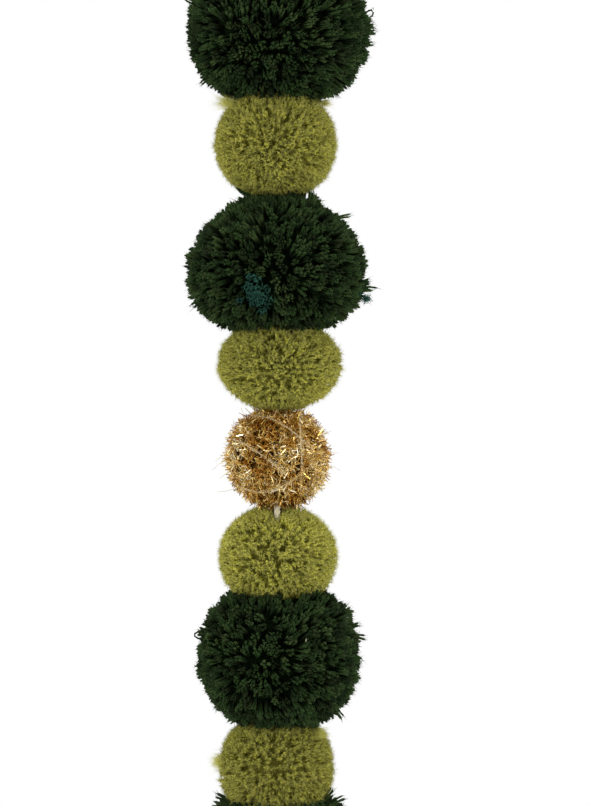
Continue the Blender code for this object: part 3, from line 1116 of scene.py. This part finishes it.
def placed(name, mesh, collection=None):
    """A new object at the origin, in the scene or in a collection."""
    made = bpy.data.objects.new(name, mesh)
    (collection or bpy.context.scene.collection).objects.link(made)
    return made


def dressed(piece, slot, *nodes):
    """A finished piece rides on the garland's body, in place of its solids."""
    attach(piece, BODY)
    if nodes:
        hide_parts(*nodes)


def kinds_of(name, make, *values):
    """A collection of unlike small meshes for a tree to pick from, made by chance."""
    chances = random.Random(name)
    kinds = bpy.data.collections.new(name + "_kinds")
    for number in range(END_KINDS):
        mesh = make(*values, chances)
        placed(f"{name}_{number}", mesh, kinds)
    return kinds


def drop_collection(kinds):
    """Remove the helper objects of a collection, and the collection."""
    for helper in list(kinds.objects):
        bpy.data.objects.remove(helper)
    bpy.data.collections.remove(kinds)


def yarn_end(yarn, settings, chances):
    """One cut end of yarn, its root at the origin, standing along +Z: its plies and fibres."""
    shape = Shape("along", "fuzz")
    for ply in range(yarn.plies):
        start = 2 * math.pi * ply / yarn.plies + chances.uniform(-0.4, 0.4)
        bend = chances.uniform(0, 2 * math.pi)
        tall = yarn.length * chances.uniform(0.84, 1.0)
        line = []
        for share in yarn.rings:
            angle = start + yarn.twist * share
            out = yarn.gather * (1 + yarn.splay * share * share)
            aside = yarn.curl * share**3
            line.append(Vector((
                out * math.cos(angle) + aside * math.cos(bend),
                out * math.sin(angle) + aside * math.sin(bend),
                tall * share,
            )))
        thick = settings.ply_radius * chances.uniform(0.82, 1.15)
        radii = [thick * (0.85 + 0.2 * share) for share in yarn.rings[:-1]] + [0.0]
        shape.sweep(line, radii, yarn.rings)
    for _ in range(yarn.fibres):
        add_fibre(shape, yarn, settings, chances)
    return shape.mesh("yarn_end")


def add_fibre(shape, yarn, settings, chances):
    """A loose fibre that leaves an end near its cut."""
    turn = chances.uniform(0, 2 * math.pi)
    out = yarn.gather * chances.uniform(0.2, 2.2)
    height = yarn.length * chances.uniform(yarn.lowest, yarn.highest)
    root = Vector((math.cos(turn) * out, math.sin(turn) * out, height))
    aside = turn + chances.uniform(-0.9, 0.9)
    away = Vector((math.cos(aside), math.sin(aside), chances.uniform(*yarn.rise))).normalized()
    tip = root + away * settings.fibre_length * chances.uniform(0.6, 1.3)
    shape.sweep([root, tip], [settings.fibre_radius, 0.0], [0.9, 1.0], fuzz=1.0)


def bristle(settings, chances):
    """One flat cut bristle, its root at the origin, bent its own way."""
    shape = Shape("along")
    tall = settings.bristle_length * chances.uniform(0.75, 1.1)
    tip = Vector((chances.uniform(-0.2, 0.2) * tall, chances.uniform(-0.2, 0.2) * tall, tall))
    wide = settings.bristle_width / 2
    shape.sweep([Vector((0, 0, 0)), tip], [wide, wide * BRISTLE_TIP], [0.0, 1.0])
    for point in shape.points:
        point.y = tip.y * (point.z / tall) + point.y * BRISTLE_THICKNESS
    mesh = shape.mesh("bristle")
    mesh.shade_flat()
    return mesh


def bed_grid():
    """(polar angle, turn) of each point of a closed round grid, and its faces."""
    places = [(0.0, 0.0)]
    faces = []
    for ring in range(1, BED_RINGS):
        start = len(places)
        before = start - BED_SEGMENTS
        for segment in range(BED_SEGMENTS):
            places.append((math.pi * ring / BED_RINGS, 2 * math.pi * segment / BED_SEGMENTS))
            after = (segment + 1) % BED_SEGMENTS
            if ring == 1:
                faces.append((0, start + segment, start + after))
            else:
                faces.append((before + segment, start + segment, start + after, before + after))
    pole = len(places)
    start = pole - BED_SEGMENTS
    places.append((math.pi, 0.0))
    for segment in range(BED_SEGMENTS):
        faces.append((pole, start + (segment + 1) % BED_SEGMENTS, start + segment))
    return places, faces


def ball_bed(index, patches):
    """The closed surface that a ball's yarn stands on, which knows how far its pile reaches."""
    ball = BALLS[index]
    centre = Vector((0, 0, centres()[index]))
    source = centre + Vector((ball.whorl_x, 0, ball.whorl_z))
    neighbours = neighbours_of(index)
    places, faces = bed_grid()
    points = []
    reach = []
    cover = []
    patch = []
    for polar, turn in places:
        out, height = outline_point(ball, polar)
        place = centre + Vector((out * math.cos(turn), out * math.sin(turn), height))
        tip = dented(place, ball, neighbours) + Vector((ball.shift, 0, 0))
        hidden = buried(place, neighbours)
        facing = max(0.0, (source - tip).normalized().y)
        root_share = YARNS[ball.yarn].root - WHORL_HOLLOW * facing**WHORL_SHARPNESS
        root_share += (BURIED_ROOT - root_share) * hidden
        root = source + (tip - source) * root_share
        points.append(root)
        reach.extend(tip - root)
        cover.append(1 - (1 - BURIED_SHARE) * hidden)
        patch.append(max([0.0] + [1 - 0.5 * (tip - spot).length / radius for spot, radius in patches]))
    mesh = closed_mesh(ball.node, points, faces, {"cover": cover, "patch": patch})
    mesh.attributes.new("reach", "FLOAT_VECTOR", "POINT").data.foreach_set("vector", reach)
    return mesh


def loop_line():
    """The middle of the hanging loop: a drop whose two ends meet in the top knot."""
    points = []
    for step in range(LOOP_POINTS):
        angle = 2 * math.pi * step / LOOP_POINTS
        down = (1 - math.cos(angle)) / 2
        side = math.sin(angle) * abs(math.cos(angle / 2)) / LOOP_SIDE_MOST
        points.append(Vector((LOOP_HALF_WIDTH * side, 0, -LOOP_DROP * down)))
    return points


def knot_line(middle):
    """The middle of a barrel knot's turns, its two ends tucked in to the run of the cord."""
    points = []
    widest = KNOT_D / 2 - CORD_D / 2
    for step in range(KNOT_STEPS + 1):
        share = step / KNOT_STEPS
        angle = 2 * math.pi * KNOT_TURNS * share
        tucked = min(1.0, min(share, 1 - share) * KNOT_TURNS * 2.5)
        radius = widest * (KNOT_TUCK + (1 - KNOT_TUCK) * math.sin(tucked * math.pi / 2))
        down = (share - 0.5) * (2 * KNOT_HALF - CORD_D)
        points.append(Vector((radius * math.cos(angle), radius * math.sin(angle), middle - down)))
    return points


def tie_line():
    """The middle of the cord's tied end that shows in the notch under the tinsel ball."""
    bottom = centres()[TINSEL] - BALLS[TINSEL].below
    return [Vector((0, depth, bottom + height)) for depth, height in TIE_PATH]


def smooth_line(path, steps):
    """Points at equal shares along a smooth curve through the path."""
    ends = [path[0] * 2 - path[1], *path, path[-1] * 2 - path[-2]]
    points = []
    for step in range(steps + 1):
        share = step / steps * (len(path) - 1)
        part = min(int(share), len(path) - 2)
        t = share - part
        a, b, c, d = ends[part:part + 4]
        points.append(
            b + (c - a) * (t / 2) + (a * 2 - b * 5 + c * 4 - d) * (t * t / 2)
            + (b * 3 - a - c * 3 + d) * (t**3 / 2)
        )
    return points


def random_way(chances):
    """A vector that points anywhere, of up to 1 along each axis."""
    return Vector([chances.uniform(-1, 1) for _ in range(3)])


def add_stray(shape, stray, settings, stage, chances):
    """A pulled end of yarn along its path, its plies side by side and frayed at the tip."""
    yarn = YARNS[DARK]
    path = [photo_place(stage, column, row, stray.nearer) for column, row in stray.path]
    line = smooth_line(path, STRAY_STEPS)
    shares = [step / STRAY_STEPS for step in range(STRAY_STEPS + 1)]
    across = Vector((0, 1, 0)).cross((line[-1] - line[0]).normalized()).normalized()
    onward = (line[-1] - line[-2]).normalized()
    look = {"shade": chances.uniform(0.5, 1.0), "tint": chances.uniform(0.0, 1.0)}
    for ply in range(stray.plies):
        angle = 2 * math.pi * ply / stray.plies + chances.uniform(-0.5, 0.5)
        gap = yarn.gather * min(1, stray.plies - 1)
        plied = []
        for point, share in zip(line, shares):
            turn = angle + yarn.twist * share
            out = gap * (1 + yarn.splay * share * share)
            plied.append(point + across * (math.cos(turn) * out) + Vector((0, math.sin(turn) * out, 0)))
        plied[-1] = plied[-1] + (plied[-1] - plied[-2]) * chances.uniform(-0.6, 0.3)
        radii = [settings.ply_radius * chances.uniform(0.75, 1.0)] * STRAY_STEPS + [0.0]
        shape.sweep(plied, radii, [0.4 + 0.6 * share for share in shares], **look)
        for _ in range(STRAY_FIBRES):
            root = plied[-2].lerp(plied[-1], chances.uniform(-1.5, 0.8))
            way = onward + random_way(chances) * 0.8
            tip = root + way * settings.fibre_length * chances.uniform(0.5, 1.1)
            shape.sweep([root, tip], [settings.fibre_radius, 0.0], [0.9, 1.0], fuzz=1.0, **look)


def add_wool(shape, wool, place, chances, **values):
    """A cloud of short curled fibres round a pixel, spread more thinly towards its edge."""
    lean = Vector((wool.side, *TUFT_LEAN)) if wool.side else Vector()
    parting = TUFT_PARTING if wool.side else 1.0
    for _ in range(wool.fibres):
        along = chances.gauss(0, 0.5) * wool.half[0]
        aside = chances.gauss(0, 0.5) * wool.half[1]
        column = wool.middle[0] + along * math.cos(wool.turn) - aside * math.sin(wool.turn)
        row = wool.middle[1] + along * math.sin(wool.turn) + aside * math.cos(wool.turn)
        start = place(column, row)
        way = random_way(chances) * parting + lean
        bend = random_way(chances) * 0.6 * parting
        size = wool.reach * chances.uniform(0.5, 1.2)
        line = [start, start + way * size * 0.5, start + (way + bend) * size]
        radii = [wool.radius, wool.radius * 0.8, 0.0]
        shape.sweep(line, radii, [0.75, 0.9, 1.0], shade=chances.uniform(0.2, 1.0), **values)


def add_top_turn(shape, line, chances):
    """A turn of tinsel on top of the ball: a spine of two twisted wires, set with bristles."""
    for start in (0, math.pi):
        ply = []
        for step, point in enumerate(line):
            turn = start + step * SPINE_TWIST
            out = Vector((math.cos(turn), math.sin(turn) * 0.5, math.sin(turn)))
            ply.append(point + out * SPINE_OUT)
        radii = [SPINE_R] * len(ply)
        shape.sweep(ply, radii, [0.5] * len(ply), shade=TOP_SHADE, tint=SPINE_TINT)
    for point in line:
        for _ in range(TOP_BRISTLES):
            tip = point + random_way(chances) * TOP_BRISTLE_LENGTH
            look = {"shade": TOP_SHADE, "tint": TOP_BRISTLE_TINT}
            shape.sweep([point, tip], [TOP_BRISTLE_R, 0.0], [0.5, 1.0], **look)


# Pieces


class GARLAND_OT_pompoms(bpy.types.Operator):
    """Wind, cut and comb the pompoms of one yarn"""

    bl_idname = "garland.pompoms"
    bl_label = "Pompoms"

    yarn: EnumProperty(
        name="Yarn",
        description="Which pompoms to make",
        items=(
            (DARK, "Dark", "The large bottle green pompoms"),
            (LIGHT, "Light", "The small moss green pompoms"),
        ),
    )

    def execute(self, context):
        garland = context.scene.garland
        settings = getattr(garland, self.yarn)
        yarn = YARNS[self.yarn]
        kinds = kinds_of(self.yarn, yarn_end, yarn, settings)
        tree = pile_tree()
        yarn_paint = yarn_material(self.yarn, settings, garland.patch)
        core_shade_paint = shade_core_material(self.yarn, settings.core)
        for index, ball in enumerate(BALLS):
            if ball.yarn != self.yarn:
                continue
            patches = teal_patches(garland) if index == TEAL_PATCH.ball else []
            pile = placed(ball.node.replace("pompom", "pile"), ball_bed(index, patches))
            apply_tree(pile, tree, {
                "Ends": kinds,
                "Spacing": settings.spacing * yarn.root,
                "Unevenness": yarn.uneven,
                "Comb": yarn.comb,
                "Comb Size": yarn.comb_size,
                "Jitter": yarn.jitter,
                "End Length": yarn.length,
                "Long Share": LONG_SHARE,
                "Long Reach": LONG_REACH,
                "Dim": ball.dim,
                "Clump": yarn.clump,
                "Clump Size": CLUMP_SIZE,
                "Seed": FIRST_SEED + SEED_STEP * index,
                "Yarn": yarn_paint,
                "Core": core_shade_paint,
            })
            dressed(pile, self.yarn, ball.node)
        drop_collection(kinds)
        return {"FINISHED"}


def teal_patches(garland):
    """(middle, radius) of each patch of teal wool."""
    front = on_front(garland.stage, TEAL_PATCH.ball, *TEAL_PATCH.middle)
    edge = photo_place(garland.stage, *TEAL_TUFT.middle, EDGE_NEARER)
    return [(front, garland.patch.radius), (edge, garland.patch.radius * TEAL_TUFT_SIZE)]


class GARLAND_OT_tinsel_ball(bpy.types.Operator):
    """Wind the tinsel ball and set its bristles"""

    bl_idname = "garland.tinsel_ball"
    bl_label = "Tinsel Ball"

    def execute(self, context):
        settings = context.scene.garland.tinsel
        radius = BALLS[TINSEL].width / 2
        centre = Vector((0, 0, centres()[TINSEL]))
        kinds = kinds_of("bristles", bristle, settings)
        # The core ball's dark brown is painted shade between the turns.
        core = bmesh.new()
        bmesh.ops.create_icosphere(core, subdivisions=4, radius=radius * TINSEL_CORE)
        bmesh.ops.translate(core, verts=core.verts, vec=centre)
        mesh = bmesh_mesh("tinsel_core", core)
        mesh.shade_smooth()
        made = placed("tinsel_windings", mesh)
        apply_tree(made, tinsel_tree(), {
            "Bristles": kinds,
            "Windings": settings.windings,
            "Centre": centre,
            "Radius": radius * TINSEL_LAID,
            "Wire Radius": settings.wire_radius,
            "Bristle Gap": settings.bristle_gap,
            "Seed": TINSEL_SEED,
            "Film": film_material(settings),
            "Core": shade_core_material(GOLD, settings.core),
        })
        dressed(made, GOLD, BALLS[TINSEL].node)
        drop_collection(kinds)
        return {"FINISHED"}


class GARLAND_OT_cord(bpy.types.Operator):
    """Twist the cord, its loop, its two knots, its tail and its tied end"""

    bl_idname = "garland.cord"
    bl_label = "Cord"

    def execute(self, context):
        settings = context.scene.garland.cord
        end_knot = centres()[-1] - BALLS[-1].below - PIECE_GAP - KNOT_HALF
        run = [Vector((0, 0, TOP_KNOT)), Vector((0, 0, end_knot - KNOT_HALF - TAIL))]
        loop = loop_line()
        points = []
        edges = []
        for line in (run, loop, knot_line(TOP_KNOT), knot_line(end_knot), tie_line()):
            start = len(points)
            points.extend(line)
            edges.extend((start + i, start + i + 1) for i in range(len(line) - 1))
            if line is loop:
                edges.append((len(points) - 1, start))
        mesh = bpy.data.meshes.new("cord_line")
        mesh.from_pydata(points, edges, [])
        made = placed("twisted_cord", mesh)
        apply_tree(made, cord_tree(), {
            "Radius": CORD_D / 2,
            "Pitch": settings.pitch,
            "Step": settings.step,
            "Cotton": cotton_material(settings),
        })
        dressed(made, COTTON, "cord")
        return {"FINISHED"}


class GARLAND_OT_strays(bpy.types.Operator):
    """Pull out the ends and fibres that stand off the balls, and catch wool in one of them"""

    bl_idname = "garland.strays"
    bl_label = "Strays"

    def execute(self, context):
        garland = context.scene.garland
        stage = garland.stage
        chances = random.Random("strays")
        self.pull_dark(garland, stage, chances)
        light = hair_shape()
        # The light tufts are painted paler, as painted light.
        for tuft in LIGHT_TUFTS:
            add_wool(
                light, tuft,
                lambda column, row: on_front(stage, tuft.ball, column, row, TUFT_SHARE),
                chances, fuzz=1.0, dim=LIGHT_TUFT_PAINTED_LIGHT,
            )
        self.finish(light, "strays_light_yarn", LIGHT)
        self.pull_tinsel(stage, chances)
        lint = hair_shape()
        add_wool(
            lint, LINT, lambda column, row: on_front(stage, LINT.ball, column, row, LINT_SHARE), chances
        )
        # The lint has no crest, so it takes the cotton's painted groove shade all over.
        self.finish(lint, "lint", COTTON)
        return {"FINISHED"}

    def pull_dark(self, garland, stage, chances):
        """The pulled ends of dark yarn, and the teal wool on the front and at the edge."""
        dark = hair_shape()
        for stray in STRAYS:
            add_stray(dark, stray, garland.dark_yarn, stage, chances)
        add_wool(
            dark, TEAL_PATCH, lambda column, row: on_front(stage, TEAL_PATCH.ball, column, row),
            chances, teal=1.0,
        )
        # The teal tuft is painted paler, as painted light.
        add_wool(
            dark, TEAL_TUFT, lambda column, row: photo_place(stage, column, row, EDGE_NEARER),
            chances, teal=1.0, dim=TEAL_TUFT_PAINTED_LIGHT,
        )
        self.finish(dark, "strays_dark_yarn", DARK)

    def pull_tinsel(self, stage, chances):
        """The film hairs, the bristles at the edge and the turns on top of the tinsel ball."""
        hairs = hair_shape()
        # Hairs and edge bristles take places on the film's painted reflection.
        for path in HAIRS:
            line = smooth_line([photo_place(stage, *pixel, EDGE_NEARER) for pixel in path], STRAY_STEPS)
            hairs.sweep(line, [HAIR_R] * STRAY_STEPS + [0.0], [0.5] * len(line), shade=0.8)
        for path in EDGE_BRISTLES:
            line = [photo_place(stage, *pixel, BRISTLE_NEARER) for pixel in path]
            hairs.sweep(line, EDGE_BRISTLE_RADII, [0.5, 1.0], shade=chances.uniform(0.3, 0.9))
        for path in TOP_TURNS:
            points = [on_front(stage, TINSEL, *pixel, TOP_SHARE) for pixel in path]
            add_top_turn(hairs, smooth_line(points, TOP_STEPS), chances)
        self.finish(hairs, "strays_tinsel", GOLD)

    def finish(self, shape, name, slot):
        """Place the shape in its slot's own finish."""
        mesh = shape.mesh(name)
        mesh.materials.append(bpy.data.materials[slot + LOOK])
        dressed(placed(name, mesh), slot)


class GARLAND_OT_stage(bpy.types.Operator):
    """Set the floor, the lights and the camera"""

    bl_idname = "garland.stage"
    bl_label = "Stage"

    def execute(self, context):
        settings = context.scene.garland.stage
        add_camera(context.scene, settings)
        add_floor(settings)
        add_world(context.scene, settings)
        middle = (CAD_BOX[0] + CAD_BOX[1]) / 2
        for name, place in LIGHTS.items():
            data = bpy.data.lights.new(name + "_light", "AREA")
            data.energy = getattr(settings, name)
            data.size = LIGHT_SIZE
            light = placed(data.name, data)
            light.location = place
            light.rotation_mode = "QUATERNION"
            light.rotation_quaternion = (middle - place).to_track_quat("-Z", "Y")
        return {"FINISHED"}


def add_camera(scene, settings):
    """A level camera that frames the garland as the photograph does."""
    data = bpy.data.cameras.new("camera")
    data.sensor_width = SENSOR_MM
    data.lens = SENSOR_MM * settings.distance / (PHOTO_HEIGHT * PIXEL)
    camera = placed("camera", data)
    camera.location = camera_place(settings)
    camera.rotation_euler = (math.pi / 2, 0, 0)
    scene.camera = camera


def add_floor(settings):
    """A round pale floor below the garland's end."""
    height = CAD_BOX[0].z - settings.floor_drop
    shape = bmesh.new()
    bmesh.ops.create_circle(shape, cap_ends=True, segments=FLOOR_POINTS, radius=settings.floor_radius)
    bmesh.ops.translate(shape, verts=shape.verts, vec=(0, 0, height))
    mesh = bmesh_mesh("floor", shape)
    floor = placed("floor", mesh)
    material, tree, shader = new_material("pale_floor")
    base = mixed(tree, grain(tree, 0.4), *FLOOR_GREYS)
    feed(tree, shader, {"Base Color": base, "Roughness": 0.8})
    mesh.materials.append(material)
    floor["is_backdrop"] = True


def add_world(scene, settings):
    """White all round: full white to the camera, and as a light softer from its side."""
    world = bpy.data.worlds.new("white")
    world.use_nodes = True
    tree = world.node_tree
    way = add(tree, "ShaderNodeTexCoord").outputs["Generated"]
    depth = add(tree, "ShaderNodeSeparateXYZ", {"Vector": way}).outputs["Y"]
    light = ramp(tree, depth, -0.9, 0.4, settings.ambient_front, settings.ambient)
    seen = add(tree, "ShaderNodeLightPath").outputs["Is Camera Ray"]
    white = calc(tree, "MULTIPLY", seen, calc(tree, "SUBTRACT", 1.0, light))
    feed(tree, tree.nodes["Background"], {
        "Color": (1, 1, 1, 1),
        "Strength": calc(tree, "ADD", light, white),
    })
    scene.world = world
    scene.view_settings.view_transform = "Standard"


class GARLAND_PT_panel(bpy.types.Panel):
    """Sizes, colours and pieces of the garland"""

    bl_idname = "GARLAND_PT_panel"
    bl_label = "Pom Pom Garland"
    bl_space_type = "VIEW_3D"
    bl_region_type = "UI"
    bl_category = "Garland"

    def draw(self, context):
        garland = context.scene.garland
        for name in GarlandSettings.__annotations__:
            group = getattr(garland, name)
            box = self.layout.box()
            box.label(text=name.replace("_", " ").capitalize())
            for key in type(group).__annotations__:
                box.prop(group, key)
        self.layout.operator("garland.pompoms", text="Dark Pompoms").yarn = DARK
        self.layout.operator("garland.pompoms", text="Light Pompoms").yarn = LIGHT
        for name in ("tinsel_ball", "cord", "strays", "stage"):
            self.layout.operator("garland." + name)


CLASSES = (
    DarkYarnSettings,
    LightYarnSettings,
    PatchSettings,
    TinselSettings,
    CordSettings,
    StageSettings,
    GarlandSettings,
    GARLAND_OT_pompoms,
    GARLAND_OT_tinsel_ball,
    GARLAND_OT_cord,
    GARLAND_OT_strays,
    GARLAND_OT_stage,
    GARLAND_PT_panel,
)


def register():
    for kind in CLASSES:
        bpy.utils.register_class(kind)
    bpy.types.Scene.garland = PointerProperty(type=GarlandSettings)


def unregister():
    del bpy.types.Scene.garland
    for kind in reversed(CLASSES):
        bpy.utils.unregister_class(kind)


def count_triangles():
    """How many triangles each piece has, and that together they are not too many."""
    total = 0
    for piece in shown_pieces():
        piece.data.calc_loop_triangles()
        count = len(piece.data.loop_triangles)
        print(piece.name, count)
        total += count
    print("triangles", total)
    if total > MOST_TRIANGLES:
        raise RuntimeError(f"{total} triangles are too many")


def main():
    """Register the add-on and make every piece."""
    register()
    bpy.ops.garland.stage()
    bpy.ops.garland.cord()
    bpy.ops.garland.pompoms(yarn=DARK)
    bpy.ops.garland.pompoms(yarn=LIGHT)
    bpy.ops.garland.tinsel_ball()
    bpy.ops.garland.strays()
    count_triangles()


if __name__ == "__main__":
    main()
